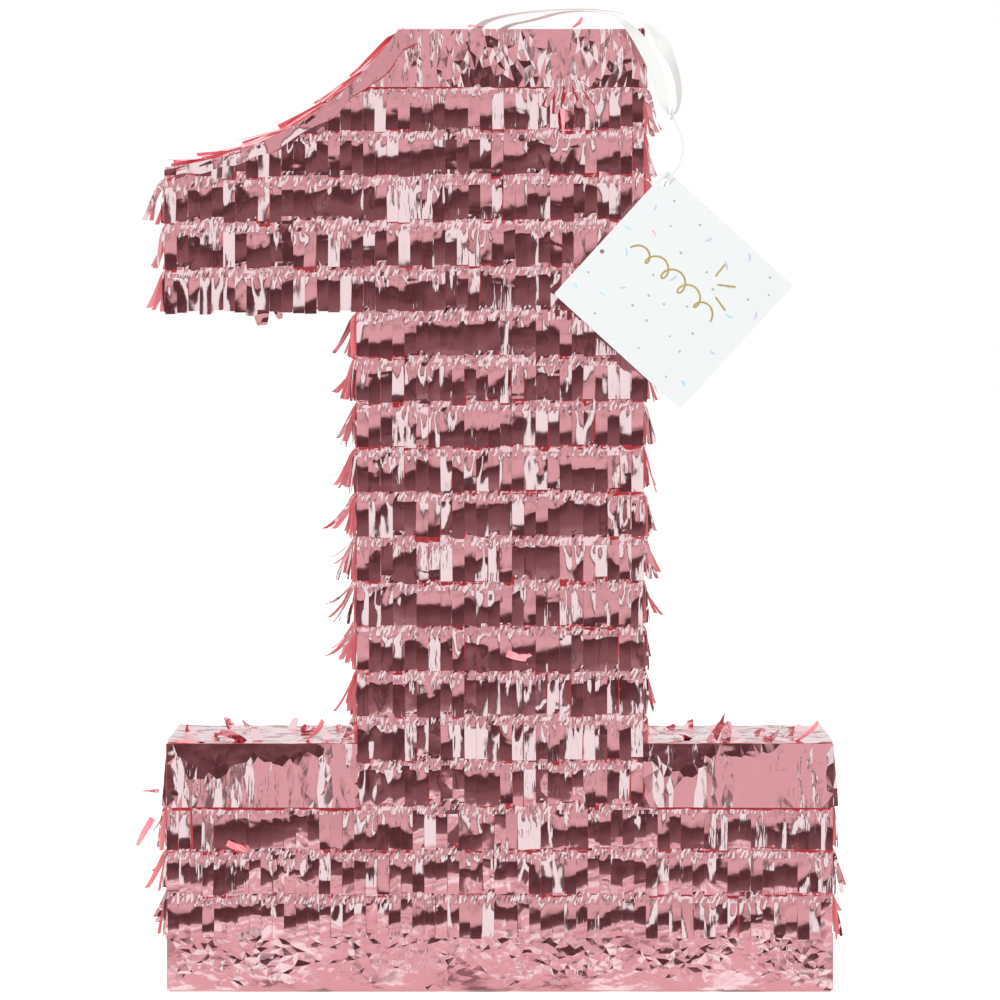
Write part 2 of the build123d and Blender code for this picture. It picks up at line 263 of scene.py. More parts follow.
def make_thread(material):
    """The tag's thread: over the ribbon's fold, down in a slack curve and through the tag's hole."""
    points, length = points_along("thread_guide", THREAD_ROUTE)
    thread = lay_curve("tag_string", THREAD_ROUTE)
    thread.data.bevel_depth = THREAD_WIDTH / 2
    thread.data.bevel_resolution = 3
    thread.data.use_fill_caps = True
    thread.data.materials.append(material)
    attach(thread, "tag_loop")
    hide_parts("tag_thread")
    for number, place in enumerate((points[0], points[-1]), 1):
        bm = bmesh.new()
        ball = bmesh.ops.create_icosphere(bm, subdivisions=3, radius=0.9 * MM)
        for vertex in ball["verts"]:
            turn = atan2(vertex.co.y, vertex.co.x)
            vertex.co *= 1 + 0.18 * sin(3 * turn + vertex.co.z * 2500)
            vertex.co.z *= 0.8
            vertex.co += place
        new_piece(f"thread_knot_{number}", bm, "tag_loop", "thread_white", [material])


# ---- Finishes

class Value:
    """A socket that ordinary sums can be written with."""

    def __init__(self, nodes, socket):
        self.nodes = nodes
        self.socket = socket

    def sum(self, operation, first, second):
        return self.nodes.add("ShaderNodeMath", {"operation": operation}, {0: first, 1: second})

    def __add__(self, other):
        return self.sum("ADD", self, other)

    __radd__ = __add__

    def __sub__(self, other):
        return self.sum("SUBTRACT", self, other)

    def __rsub__(self, other):
        return self.sum("SUBTRACT", other, self)

    def __mul__(self, other):
        return self.sum("MULTIPLY", self, other)

    __rmul__ = __mul__

    def __gt__(self, other):
        return self.sum("GREATER_THAN", self, other)


class Nodes:
    """A node tree that is filled by expressions."""

    def __init__(self, tree):
        self.tree = tree

    def add(self, kind, settings=None, sockets=None, output=0):
        """Add a node, its settings first and then the values or links of its sockets."""
        node = self.tree.nodes.new(kind)
        for key, value in (settings or {}).items():
            if key == "stops":
                ramp = node.color_ramp
                while len(ramp.elements) < len(value):
                    ramp.elements.new(0.5)
                for element, (position, colour) in zip(ramp.elements, value):
                    element.position = position
                    element.color = (*colour, 1)
            else:
                setattr(node, key, value)
        for key, value in (sockets or {}).items():
            if isinstance(value, Value):
                self.tree.links.new(value.socket, node.inputs[key])
            else:
                node.inputs[key].default_value = value
        return Value(self, node.outputs[output])

    def join(self, value, node, socket):
        self.tree.links.new(value.socket, node.inputs[socket])

    def between(self, amount, first, second):
        """A colour between two, by an amount from 0 to 1."""
        sockets = {0: amount, 6: first, 7: second}
        return self.add("ShaderNodeMix", {"data_type": "RGBA"}, sockets, output=2)

    def step(self, value, edge, softness):
        """0 below an edge and 1 above it, over a short distance."""
        return self.add(
            "ShaderNodeMapRange",
            {"interpolation_type": "SMOOTHSTEP"},
            {0: value, 1: edge - softness, 2: edge + softness, 3: 0.0, 4: 1.0},
        )


class Finish(Nodes):
    """A material: its nodes, its Principled shader and the object's own coordinates."""

    def __init__(self, name, **settings):
        self.material = bpy.data.materials.new(name)
        self.material.use_nodes = True
        super().__init__(self.material.node_tree)
        self.shader = self.tree.nodes["Principled BSDF"]
        for key, value in settings.items():
            self.shader.inputs[key.replace("_", " ")].default_value = value
        self.place = self.add("ShaderNodeTexCoord", output=3)

    def noise(self, scale, stretch=(1, 1, 1), detail=3.0, rough=0.5, start=None):
        """Smooth noise over the object, stretched along an axis where its factor is small."""
        mapped = self.add("ShaderNodeMapping", None, {0: start or self.place, 3: stretch})
        return self.add(
            "ShaderNodeTexNoise", None, {0: mapped, "Scale": scale, "Detail": detail, "Roughness": rough}
        )

    def bands(self, direction, sockets):
        """Even stripes across the object."""
        settings = {"wave_type": "BANDS", "bands_direction": direction}
        return self.add("ShaderNodeTexWave", settings, {0: self.place, **sockets}, output=1)

    def feed(self, socket, value):
        self.join(value, self.shader, socket)

    def bump(self, height, distance, strength=1.0):
        sockets = {"Strength": strength, "Distance": distance, "Height": height}
        self.feed("Normal", self.add("ShaderNodeBump", None, sockets))


def rose_foil(name, base, roughness):
    """Metallised film: a mirror that waves gently, with fine pleats running down it in patches."""
    finish = Finish(name, Metallic=1.0)
    pleats = finish.noise(520.0, (1, 1, 0.12), 2.0)
    patches = finish.step(finish.noise(40.0, (1, 1, 1.8), 2.0), 0.55, 0.07)
    waves = finish.noise(190.0, (1, 1, 0.6), 1.0)
    finish.bump(pleats * (patches * 0.85 + 0.05) + waves * 0.65, 0.16 * MM, 0.8)
    tone = finish.noise(60.0, detail=2.0)
    finish.feed("Base Color", finish.between(tone, [c * 0.94 for c in base] + [1], [*base, 1]))
    finish.feed("Roughness", roughness + finish.noise(30.0) * 0.05)
    return finish.material


def foil_back():
    """The film's other side, where the dye shows red; a faint painted glow in the same red stands in for the
    light that comes through.
    """
    finish = Finish("foil_back", Metallic=0.25, Roughness=0.35, Emission_Strength=0.22)
    tone = finish.noise(150.0, (1, 1, 0.3), 3.0)
    colour = finish.between(tone, (0.80, 0.09, 0.13, 1), (1.0, 0.50, 0.55, 1))
    finish.feed("Base Color", colour)
    # painted glow: the back's own red goes into its emission too (strength 0.22), so it shines faintly
    # without a lamp
    finish.feed("Emission Color", colour)
    finish.bump(finish.noise(500.0, (1, 1, 0.15)), 0.08 * MM, 0.5)
    return finish.material


def kraft_board():
    """Brown corrugated board: speckled liner, with the flutes just showing through."""
    finish = Finish("kraft_board", Roughness=0.85)
    flutes = finish.bands("X", {"Scale": 45.0, "Distortion": 0.4, "Detail": 1.0})
    fibre = finish.noise(700.0, (1, 1, 0.25), 4.0, 0.6)
    finish.feed("Base Color", finish.between(fibre, (0.30, 0.18, 0.09, 1), (0.48, 0.33, 0.19, 1)))
    finish.bump(flutes * 0.5 + fibre * 0.4, 0.15 * MM, 0.6)
    return finish.material


def plain_paper(name, colour, fibre_depth=0.04):
    """Smooth card or paper tape with a faint fibre."""
    finish = Finish(name, Roughness=0.62)
    fibre = finish.noise(900.0, (1, 1, 1), 4.0, 0.6)
    shade = finish.noise(18.0, detail=2.0)
    darker = [c * 0.97 for c in colour]
    finish.feed("Base Color", finish.between(shade, (*darker, 1), (*colour, 1)))
    finish.bump(fibre, fibre_depth * MM, 0.5)
    return finish.material


def satin():
    """White satin ribbon: a fine weave and a soft sheen. Over the crown a painted glow lifts its shaded
    underside, standing in for the light that comes through it.
    """
    finish = Finish("ribbon_satin", Roughness=0.38, Sheen_Weight=0.3, Emission_Strength=1.0)
    weave = finish.noise(2200.0, detail=2.0)
    finish.feed("Base Color", finish.between(weave, (0.66, 0.66, 0.63, 1), (0.80, 0.80, 0.78, 1)))
    # painted glow: emission is turned on only above the crown's top, brightening the ribbon where it lies in
    # shade
    height = finish.add("ShaderNodeSeparateXYZ", None, {0: finish.place}, output=2)
    glow_over_crown = finish.step(height, FOIL_TOP + 2.5 * MM, 2.0 * MM)
    finish.feed("Emission Color", finish.between(glow_over_crown, (0.0, 0.0, 0.0, 1), (0.17, 0.17, 0.165, 1)))
    finish.bump(weave, 0.05 * MM, 0.5)
    return finish.material


def twine():
    """Thin white thread with a twist."""
    finish = Finish("white_thread", Roughness=0.7)
    strands = finish.bands("DIAGONAL", {"Scale": 900.0})
    finish.feed("Base Color", finish.between(strands, (0.66, 0.66, 0.64, 1), (0.80, 0.80, 0.79, 1)))
    finish.bump(strands, 0.08 * MM, 0.6)
    return finish.material


def gold_print():
    """Hot-stamped gold line."""
    finish = Finish("gold_print", Metallic=0.6, Roughness=0.35)
    tone = finish.noise(300.0)
    finish.feed("Base Color", finish.between(tone, (0.55, 0.38, 0.10, 1), (0.72, 0.55, 0.22, 1)))
    return finish.material


def ink():
    """Printed confetti, whose colours are painted on each mark."""
    finish = Finish("confetti_ink", Roughness=0.55)
    paint = finish.add("ShaderNodeVertexColor", {"layer_name": "ink"})
    worn = finish.noise(1200.0)
    finish.feed("Base Color", finish.between(worn * 0.25, paint, (0.93, 0.94, 0.95, 1)))
    return finish.material


FOIL = rose_foil("rose_foil", (0.86, 0.42, 0.46), 0.05)
FOIL_BACK = foil_back()
FOIL_PAIR = [FOIL, FOIL_BACK]
BOARD = kraft_board()
TAPE = plain_paper("paper_tape", (0.80, 0.72, 0.60))
CARD = plain_paper("tag_card", (0.70, 0.712, 0.715))
SATIN = satin()
TWINE = twine()
GOLD = gold_print()
INK = ink()
WOOD = plain_paper("stick_wood", (0.55, 0.36, 0.20), 0.1)


# ---- Foil fringe

STEPS = 12  # faces down a tab, closer together near its glued edge
HEADER = 2.6 / 22  # the share of a strip's height that isn't slit
BULGE = 0.5 * MM  # how far a tab steps out just below its glued edge
SLIT_TOP = HEADER + 0.03
FLAT_TOP = HEADER + 0.17  # above this the faces are flat, so that the pressed edge glints
CRINKLE = 0.62 * MM  # depth of the small creases along the glued edge
DENT = 2.4 * MM
INWARD = 0.2 * MM  # how far a tab may press in towards the board
CURLED = 0.12  # past this many radians a loose tab's curl shortens it


class Wall:
    """A side for foil to hang on: a start, the ways across, out and down, and a length."""

    def __init__(self, start, across, out, length, down=-Z):
        self.start = Vector(start)
        self.across = across
        self.out = out
        self.down = down
        self.length = length


def calm_habits(count, rng, lean):
    """How the tabs of a flat side hang, in degrees. Neighbours hang alike for a few tabs, then comes a
    jump."""
    habits = []
    while len(habits) < count:
        run = rng.randint(2, 6)
        slide = rng.uniform(0.0, 6.0)
        middle = rng.gauss(0, 2.3)
        yaw = 0.0
        turn = 0.0
        left = 0
        for i in range(run):
            if left == 0:
                left = rng.choice((1, 1, 1, 2))
                kind = rng.random()
                yaw = rng.gauss(0, 1.7)
                turn = rng.gauss(-3.0, 2.0)
                if kind > 0.90:
                    yaw = rng.gauss(0, 8.0)
                elif kind > 0.68:
                    yaw = rng.choice((-1, 1)) * rng.uniform(6.6, 8.4)
                    turn = rng.gauss(0, 0.8)
            left -= 1
            odd = rng.random()
            extra = 6.0 if odd < 0.08 else -5.0 if odd < 0.17 else 0.0
            offset = lean + middle + slide * (0.5 - i / (run - 1)) + rng.gauss(0, 1.0) + extra
            habit = dict(
                yaw=yaw + rng.gauss(0, 0.4),
                turn=turn,
                start=11.5 + offset,
                end=-4.0 + offset + rng.gauss(0, 1.0),
                longer=rng.gauss(0, 0.024),
                slip=rng.gauss(0, 0.22 * MM),
                cup=rng.gauss(0, 0.05 * MM),
            )
            habits.append(habit)
    return habits


def feather_habits(count, rng, flare):
    """How the loose strips of a narrow side hang: they stand off, twist and curl."""
    habits = []
    for _ in range(count):
        wild = rng.random() ** 3 * flare
        start = rng.uniform(3, 12) + 18 * wild
        habit = dict(
            yaw=rng.gauss(0, 22 + 22 * wild),
            turn=rng.gauss(0, 24 + 24 * wild),
            start=start,
            end=start + rng.uniform(-24, -4) + 26 * wild * rng.choice((0, 1, 1)),
            longer=rng.uniform(-0.03, 0.07) + 0.05 * wild,
            slip=rng.gauss(0, 1.6 * MM) * (0.3 + wild),
            cup=rng.gauss(0, 0.12 * MM),
        )
        habits.append(habit)
    return habits


def layer_habits(count, rng):
    """How the strips on the slope lie: close along it, with loose ends that reach past the next layer."""
    habits = []
    for _ in range(count):
        wild = rng.random() ** 3
        start = rng.uniform(3, 10) + 6 * wild
        habit = dict(
            yaw=rng.gauss(0, 16),
            turn=rng.gauss(0, 30),
            start=start,
            end=start - rng.uniform(2, 12) + 16 * wild,
            longer=rng.uniform(0.0, 0.15) + 0.22 * wild,
            slip=rng.gauss(0, 1.5 * MM),
            cup=rng.gauss(0, 0.15 * MM),
        )
        habits.append(habit)
    return habits


def hang_fringe(bm, wall, drop, rng, seed, fall=0.0, flare=0.0, layered=False, most=1.0):
    """Slit a strip of foil into tabs and hang it on a wall: each tab leans out from its glued edge, then
    falls back towards its tip. drop is the strip's height, fall lowers its start, flare makes loose
    feathers, and most is how far a tab may stand off."""
    loose = flare or layered
    columns = 2 if loose else 5
    width = TAB_WIDTH * (LOOSE_WIDTH if loose else 1.0)
    tabs = max(1, round(wall.length / width))
    width = wall.length / tabs
    over_foot, over_middle = (min(max((wall.start.z - z) / 0.06, 0), 1) for z in (0.10, 0.26))
    habits = calm_habits(tabs, rng, -0.3 - 0.7 * over_foot - 2.4 * over_middle)
    if loose:
        habits = layer_habits(tabs, rng) if layered else feather_habits(tabs, rng, flare)
    grid = lay_grid(bm, tabs * columns, STEPS)
    faces = faces_of(grid)
    for vertex in grid:
        vertex.co.y = 0.5 - (0.5 - vertex.co.y) ** 1.35
    for face in faces:
        face.smooth = 0.5 - face.calc_center_median().y > FLAT_TOP
    slits = []
    for edge in {edge for vertex in grid for edge in vertex.link_edges}:
        a, b = (vertex.co for vertex in edge.verts)
        place = (a.x + 0.5) * tabs
        upright = abs(a.x - b.x) < 1e-6
        inside = 0.5 < place < tabs - 0.5 and abs(place - round(place)) < 1e-4
        if upright and inside and 0.5 - min(a.y, b.y) > SLIT_TOP:
            slits.append(edge)
    bmesh.ops.split_edges(bm, edges=slits)
    number = {face: int((face.calc_center_median().x + 0.5) * tabs) for face in faces}
    moved = {}
    for vertex in {vertex for face in faces for vertex in face.verts}:
        tab = number[vertex.link_faces[0]]
        habit = habits[tab]
        s = (vertex.co.x + 0.5) * wall.length
        t = 0.5 - vertex.co.y
        free = min(max((t - HEADER) / (1 - HEADER), 0), 1)
        rise = min(free * 6, 1)
        u = s - (tab + 0.5) * width
        fan = radians(habit["start"]) * free
        fan += radians(habit["end"] - habit["start"]) * free**2 / 2
        stand = fan * drop * (1 - HEADER) + BULGE * rise
        yaw = habit["yaw"] + habit["turn"] * (free - 0.5)
        turned = radians(max(-75, min(75, yaw)) * rise)
        if loose:
            s -= u * 0.4 * free
            u *= 1 - 0.4 * free
        stand += u * sin(turned)
        stand += habit["cup"] * (1 - (2 * u / width) ** 2) * rise
        crinkle = wobble(s / (2.0 * MM), t * 3.5, seed + 3.1)
        crinkle += 0.6 * wobble(s / (4.2 * MM), t * 2.5, seed + 8.1)
        stand += crinkle * CRINKLE * exp(-((max(t - HEADER, 0) * 5.0) ** 2))
        dent = max(0, wobble(s / (21 * MM), seed, 6.2) + 0.12)
        dent *= wobble(s / (4.4 * MM), t * 2.2, seed + 5.5)
        stand += dent * DENT * rise * (1 - free)
        along = s - u * (1 - cos(turned)) + habit["slip"] * free**2
        length = drop * (t + habit["longer"] * free**2)
        if fan > CURLED:
            length -= drop * (1 - HEADER) * fan**2 * 0.5 * free
        slope = fall * (wall.length - s)
        off = LIFT + min(max(stand, -INWARD), most)
        moved[vertex] = wall.start + wall.across * along + wall.out * off
        moved[vertex] += wall.down * (length + slope)
    for vertex, place in moved.items():
        vertex.co = place


def lay_backing(bm, wall, drop):
    """Plain foil glued to the board behind loose tabs, so that no board shows between them."""
    for vertex in lay_grid(bm, max(2, round(wall.length / (4 * MM))), 4):
        s = (vertex.co.x + 0.5) * wall.length
        t = 0.5 - vertex.co.y
        ruffle = noise.noise(Vector((s, t * drop, wall.start.z)) / 0.006)
        vertex.co = wall.start + wall.across * s + wall.down * drop * t
        vertex.co += wall.out * (0.34 * MM + 0.09 * MM * ruffle)


def row_low(row):
    """Height of a row's tips."""
    return low(f"fringe_row_{row:02d}").z


def ring_walls(top, left, right):
    """The four sides that a row runs round, starting at its glued edge: front, right, back and left."""
    width = right - left + 2 * LIFT
    depth = 2 * (HALF_DEPTH + LIFT)
    return [
        Wall((left - LIFT, -HALF_DEPTH, top), X, -Y, width),
        Wall((right, -HALF_DEPTH - LIFT, top), Y, X, depth),
        Wall((right + LIFT, HALF_DEPTH, top), -X, Y, width),
        Wall((left, HALF_DEPTH + LIFT, top), -Y, -X, depth),
    ]


def slope_line():
    """The circle that the slope follows, as its centre in x and z and its radius, and its two ends."""
    foot = Vector((low("arm_end_wall").x, ARM_TIP_Z))
    top = Vector((CROWN_LEFT, CROWN_Z))
    chord = top - foot
    radius = (chord.length**2 / 4 + SLOPE_SAG**2) / (2 * SLOPE_SAG)
    normal = Vector((-chord.y, chord.x)).normalized()
    return (foot + top) / 2 + normal * (radius - SLOPE_SAG), radius, foot, top


SLOPE_CENTRE, SLOPE_RADIUS, SLOPE_FOOT, SLOPE_TOP = slope_line()
FOOT_ANGLE = atan2(SLOPE_FOOT.y - SLOPE_CENTRE.y, SLOPE_FOOT.x - SLOPE_CENTRE.x)
TOP_ANGLE = atan2(SLOPE_TOP.y - SLOPE_CENTRE.y, SLOPE_TOP.x - SLOPE_CENTRE.x)


def slope_x(z):
    """Where the slope is at a height; foil to its left is cut off."""
    rise = SLOPE_CENTRE.y - z
    if z <= ARM_TIP_Z or rise >= SLOPE_RADIUS:
        return -1.0
    return SLOPE_CENTRE.x + sqrt(SLOPE_RADIUS**2 - rise**2)


def trim_to_slope(bm):
    """Cut a row's foil along the slope."""
    gone = [face for face in bm.faces if all(v.co.x < slope_x(v.co.z) for v in face.verts)]
    bmesh.ops.delete(bm, geom=gone, context="FACES")
    for vertex in bm.verts:
        edge = slope_x(vertex.co.z)
        if vertex.co.x < edge:
            vertex.co.x = edge


def make_row(row):
    """One row of fringe round the carcass, and its part on the door where it crosses the door."""
    node = f"fringe_row_{row:02d}"
    rng = random.Random(100 + row)
    left = low("front_panel").x if row < 3 else low(node).x + TIP_STAND
    right = high(node).x - TIP_STAND
    tips = low(node).z
    top = tips + row_low(1) - row_low(2) + 2.4 * MM
    drop = top - tips
    tilt = 0.010 if row < 6 else 0.006 if row < 12 else 0.002
    front, right_side, back, left_side = ring_walls(top, left, right)
    bm = bmesh.new()
    front.start.z += tilt * (right - left) / 2
    hang_fringe(bm, front, drop, rng, row * 10.0, fall=tilt)
    height = drop
    if row == LAST_STEM_ROW - 1:
        height = min(drop, top - SHOULDER_Z - 1.2 * MM)
    for wall, flare in ((right_side, 0.8), (left_side, 1.7 if 7 <= row <= 13 else 1.1)):
        if row == LAST_STEM_ROW or (wall is left_side and row < 3):
            continue
        hang_fringe(bm, wall, height, rng, row * 10.0 + 1, flare=flare)
        lay_backing(bm, wall, height)
    if row in DOOR_ROWS:
        room = 3.5 * MM
        hinge = DOOR_LEFT - 1.5 * MM
        near = Wall(back.start, -X, Y, right - DOOR_RIGHT - 0.6 * MM)
        hang_fringe(bm, near, drop, rng, row * 10.0 + 2)
        far = Wall((hinge - room, HALF_DEPTH, top), -X, Y, hinge - room - left)
        hang_fringe(bm, far, drop, rng, row * 10.0 + 3, most=NEAR_FOLD)
        beside = Wall((DOOR_LEFT - 2.2 * MM, HALF_DEPTH, tips + drop), -X, Y, 6 * MM)
        lay_backing(bm, beside, drop)
    else:
        if row == DOOR_ROWS.stop:
            back.start.z = min(top, DOOR_FOOT - 0.4 * MM)
        hang_fringe(bm, back, back.start.z - tips, rng, row * 10.0 + 2)
    if row <= 3:
        trim_to_slope(bm)
    foil_piece(f"foil_row_{row:02d}", bm, node, smooth=None)
    if row in DOOR_ROWS:
        first = row == DOOR_ROWS[0]
        door_top = high("door_fringe").z if first else top
        bm = bmesh.new()
        wall = Wall((DOOR_RIGHT, HALF_DEPTH, door_top), -X, Y, DOOR_RIGHT - DOOR_LEFT)
        reach = door_top - tips - 0.3 * MM
        hang_fringe(bm, wall, reach, rng, row * 10.0 + 5, most=NEAR_FOLD)
        crease = Wall((DOOR_LEFT + 4 * MM, HALF_DEPTH, door_top), -X, Y, 4.8 * MM)
        lay_backing(bm, crease, reach)
        node = ["door_fringe"] if first else []
        foil_piece(f"door_foil_row_{row:02d}", bm, *node, body="fill_door", smooth=None)


def make_slope_fringe():
    """Rows of tabs across the depth that hang down the hollow slope and stand well off it."""
    rows = 6
    step = (TOP_ANGLE - FOOT_ANGLE) / rows
    rng = random.Random(7)
    bm = bmesh.new()
    for row in range(rows):
        angle = FOOT_ANGLE + (row + 1) * step
        radial = Vector((cos(angle), 0, sin(angle)))
        root = Vector((SLOPE_CENTRE.x, 0, SLOPE_CENTRE.y)) + radial * SLOPE_RADIUS
        chord_angle = angle - step / 2
        down = Vector((sin(chord_angle), 0, -cos(chord_angle)))
        out = -Vector((cos(chord_angle), 0, sin(chord_angle)))
        wall = Wall(root - Y * HALF_DEPTH, Y, out, 2 * HALF_DEPTH, down=down)
        reach = step * SLOPE_RADIUS + (3.0 if row else -4.0) * MM
        hang_fringe(bm, wall, reach, rng, 400.0 + row, layered=True)
        lay_backing(bm, wall, step * SLOPE_RADIUS)
    foil_piece("slope_foil_fringe", bm, "slope_fringe")


# ---- Crumpled foil

# Width and height of a facet, and how far its corners move
TALL_FACETS = (1.8 * MM, 4.2 * MM, 0.50 * MM)
BROAD_FACETS = (6.0 * MM, 6.0 * MM, 0.75 * MM)
SMALL_FACETS = (2.7 * MM, 2.4 * MM, 0.45 * MM)
LONG_FACETS = (2.1 * MM, 4.6 * MM, 0.42 * MM)


def crumpled_panel(bm, start, across, width, up, height, out, facets, rng, shape=None):
    """Add a sheet of foil with hard little facets to one flat side. shape gives how far it stands out at a
    share of its width and height, and how strongly it is crumpled there. Its ends reach round to the next
    side."""
    cell_width, cell_height, depth = facets
    columns = max(2, round(width / cell_width))
    rows = max(2, round(height / cell_height))
    start = Vector(start)
    corners = lay_grid(bm, columns, rows)
    faces = list(faces_of(corners))
    for vertex in corners:
        a = min(max(vertex.co.x + 0.5, 0), 1)
        b = min(max(vertex.co.y + 0.5, 0), 1)
        end = 1 if a > 0.999 else -1 if a < 0.001 else 0
        edge = b < 0.001 or b > 0.999
        if not end:
            a += rng.uniform(-0.42, 0.42) / columns
        if not edge:
            b += rng.uniform(-0.42, 0.42) / rows
        stand, strength = shape(a, b) if shape else (0.5 * MM, 1.0)
        if edge:
            strength *= 0.5
        stand += rng.random() * depth * strength
        place = start + across * (a * width + end * (0.5 * MM + depth * 0.5)) + up * (b * height)
        vertex.co = place + out * (0.9 * MM if end else stand)
    bmesh.ops.triangulate(bm, faces=faces, quad_method="BEAUTY")
    faces = list(faces_of(corners))
    if across.cross(up).dot(out) < 0:
        bmesh.ops.reverse_faces(bm, faces=faces)


def creases(x, z, seed, width, tall):
    """From 0 to about 0.7: sharp upright creases about a width apart, each a few times as tall."""
    return abs(wobble(x / width, z / tall, seed))


def between_points(points, share):
    """The height of a line through (share, height) points."""
    for (a, first), (b, second) in zip(points, points[1:]):
        if share <= b:
            return first + (second - first) * (share - a) / (b - a)
    return points[-1][1]


def make_top_band():
    """The crumpled band round the crown, and the foil on top of it. It stands off more towards its lower
    edge, and is smooth where it is folded over the slope."""
    bottom = low("top_band").z - 1.0 * MM
    height = FOIL_TOP - 0.5 * MM - bottom
    left = low("top_band").x + 1.3 * MM
    depth = 2 * HALF_DEPTH
    width = STEM_HALF - left

    def leaning(a, b):
        x, z = left + a * width, bottom + b * height
        from_slope = max(0, (x - slope_x(z)) / (16 * MM))
        lean = 0.05 + 0.05 * wobble(a * 6, b * 1.5, 5)
        tangle = exp(-(((x + 6 * MM) / (14 * MM)) ** 2))
        spread = min(1, 0.1 + from_slope**2)
        stand = 0.5 * MM + (1 - b) * height * (lean - 0.03 * tangle)
        stand += 0.8 * MM * spread * creases(x, z, 5.0, 5 * MM, 26 * MM)
        return (stand, spread * (0.22 + 0.75 * tangle))

    def leaning_side(a, b):
        fold = 0.8 * MM * creases(a * depth, b * height, 9.0, 5 * MM, 26 * MM)
        return (0.4 * MM + (1 - b) * height * 0.055 + fold, 0.4)

    def flat(a, b):
        return (0.0, 0.5)

    bm = bmesh.new()
    rng = random.Random(41)
    crumpled_panel(bm, (left, -HALF_DEPTH, bottom), X, width, Z, height, -Y, TALL_FACETS, rng, leaning)
    crumpled_panel(
        bm, (STEM_HALF, -HALF_DEPTH, bottom), Y, depth, Z, height, X, TALL_FACETS, rng, leaning_side
    )
    crumpled_panel(bm, (left, HALF_DEPTH, bottom), X, width, Z, height, Y, TALL_FACETS, rng, leaning)
    corner = (CROWN_LEFT, -HALF_DEPTH, FOIL_TOP - 0.6 * MM)
    crumpled_panel(bm, corner, X, STEM_HALF - CROWN_LEFT, Y, depth, Z, LONG_FACETS, rng, flat)
    trim_to_slope(bm)
    foil_piece("crown_foil", bm, "top_band", smooth=False)


LEFT_FOLD = [(0, 0), (0.15, 16), (0.46, 5.7), (0.55, 8.7), (0.78, 4), (0.83, 0), (1, 0)]
RIGHT_FOLD = [(0, 2), (0.2, 0), (0.45, 3), (0.6, 2), (0.72, 11), (0.84, 14), (0.93, 6), (1, 9)]


def make_shoulder(name, node, side, fold):
    """The crumpled foil over one shoulder of the foot. Above a slanting fold it hangs straight, and below it
    the foil stands off like the rows. fold gives its depth in millimetres, from the outer corner to the
    stem."""
    bottom = low(node).z - 1.2 * MM
    height = high(node).z - 0.8 * MM - bottom
    inner = side * (STEM_HALF - 1.0 * MM)
    width = BASE_HALF - abs(inner)
    depth = 2 * HALF_DEPTH
    outer = side * BASE_HALF
    out = X * side
    bm = bmesh.new()
    seed = 5.0 + side
    rng = random.Random(50 + side)

    def folded(a, b):
        down = (1 - b) * height
        edge = between_points(fold, 1 - a) * MM
        below = max(0, down - edge)
        above = min(down, edge)
        lean = 0.14 + 0.008 * wobble(a * 7, b * 2, seed)
        near_end = exp(-((min(a, 1 - a) / 0.15) ** 2))
        fold_out = (0.2 + 0.5 * near_end) * MM * creases(a * width, b * height, seed, 8 * MM, 34 * MM)
        stand = 0.4 * MM + above * 0.01 + below * lean + fold_out
        return (stand, 0.05 + 0.12 * near_end if below else 0.25)

    def plain(a, b):
        fold_out = 0.5 * MM * creases(a * depth, b * height, seed, 6.5 * MM, 34 * MM)
        return (0.4 * MM + (1 - b) * height * 0.10 + fold_out, 0.3)

    def flat(a, b):
        return (0.0, 0.8)

    crumpled_panel(bm, (inner, -HALF_DEPTH, bottom), out, width, Z, height, -Y, LONG_FACETS, rng, folded)
    crumpled_panel(bm, (inner, HALF_DEPTH, bottom), out, width, Z, height, Y, LONG_FACETS, rng, folded)
    crumpled_panel(bm, (outer, -HALF_DEPTH, bottom), Y, depth, Z, height, out, LONG_FACETS, rng, plain)
    corner = (inner, -HALF_DEPTH, high(node).z - 0.75 * MM)
    crumpled_panel(bm, corner, out, width, Y, depth, Z, BROAD_FACETS, rng, flat)
    foil_piece(name, bm, node, smooth=False)


def make_slope_edge():
    """Smooth foil from the slope, folded over onto the front and the back along its edge."""
    bm = bmesh.new()
    for out in (-Y, Y):
        for vertex in lay_grid(bm, 90, 6):
            share = vertex.co.x + 0.5
            angle = FOOT_ANGLE + (TOP_ANGLE - FOOT_ANGLE) * share
            wide = 5.2 + 3.2 * wobble(share * 9, out.y, 2) + 5.0 * share**6
            inward = (0.5 - vertex.co.y) * wide * MM
            radius = SLOPE_RADIUS - 0.6 * MM + inward
            x = SLOPE_CENTRE.x + radius * cos(angle)
            z = SLOPE_CENTRE.y + radius * sin(angle)
            stand = 1.2 * MM + 0.30 * inward + 0.5 * MM * noise.noise(Vector((x, z, out.y)) / 0.009)
            vertex.co = Vector((x, out.y * (HALF_DEPTH + stand), z))
    bm.normal_update()
    wrong = [face for face in bm.faces if face.normal.y * face.calc_center_median().y < 0]
    bmesh.ops.reverse_faces(bm, faces=wrong)
    foil_piece("slope_edge_foil", bm)


def make_bottom_wrap():
    """The crumpled wrap round the foot's lower edge."""
    bottom = low("bottom_wrap").z
    height = row_low(ROW_COUNT) + 2 * MM - bottom
    depth = 2 * HALF_DEPTH
    bm = bmesh.new()
    rng = random.Random(61)

    def patchy(a, b):
        patch = wobble(a * 16, b * 1.3, 4.0)
        return (0.5 * MM, min(max(0.6 + 1.5 * patch, 0.3), 1.3) * (1.0 if b > 0.3 else 0.6))

    sides = (
        ((-BASE_HALF, -HALF_DEPTH, bottom), X, 2 * BASE_HALF, -Y),
        ((BASE_HALF, -HALF_DEPTH, bottom), Y, depth, X),
        ((BASE_HALF, HALF_DEPTH, bottom), -X, 2 * BASE_HALF, Y),
        ((-BASE_HALF, HALF_DEPTH, bottom), -Y, depth, -X),
    )
    for start, across, width, out in sides:
        crumpled_panel(bm, start, across, width, Z, height, out, SMALL_FACETS, rng, patchy)
    foil_piece("foot_wrap_foil", bm, "bottom_wrap", smooth=False)


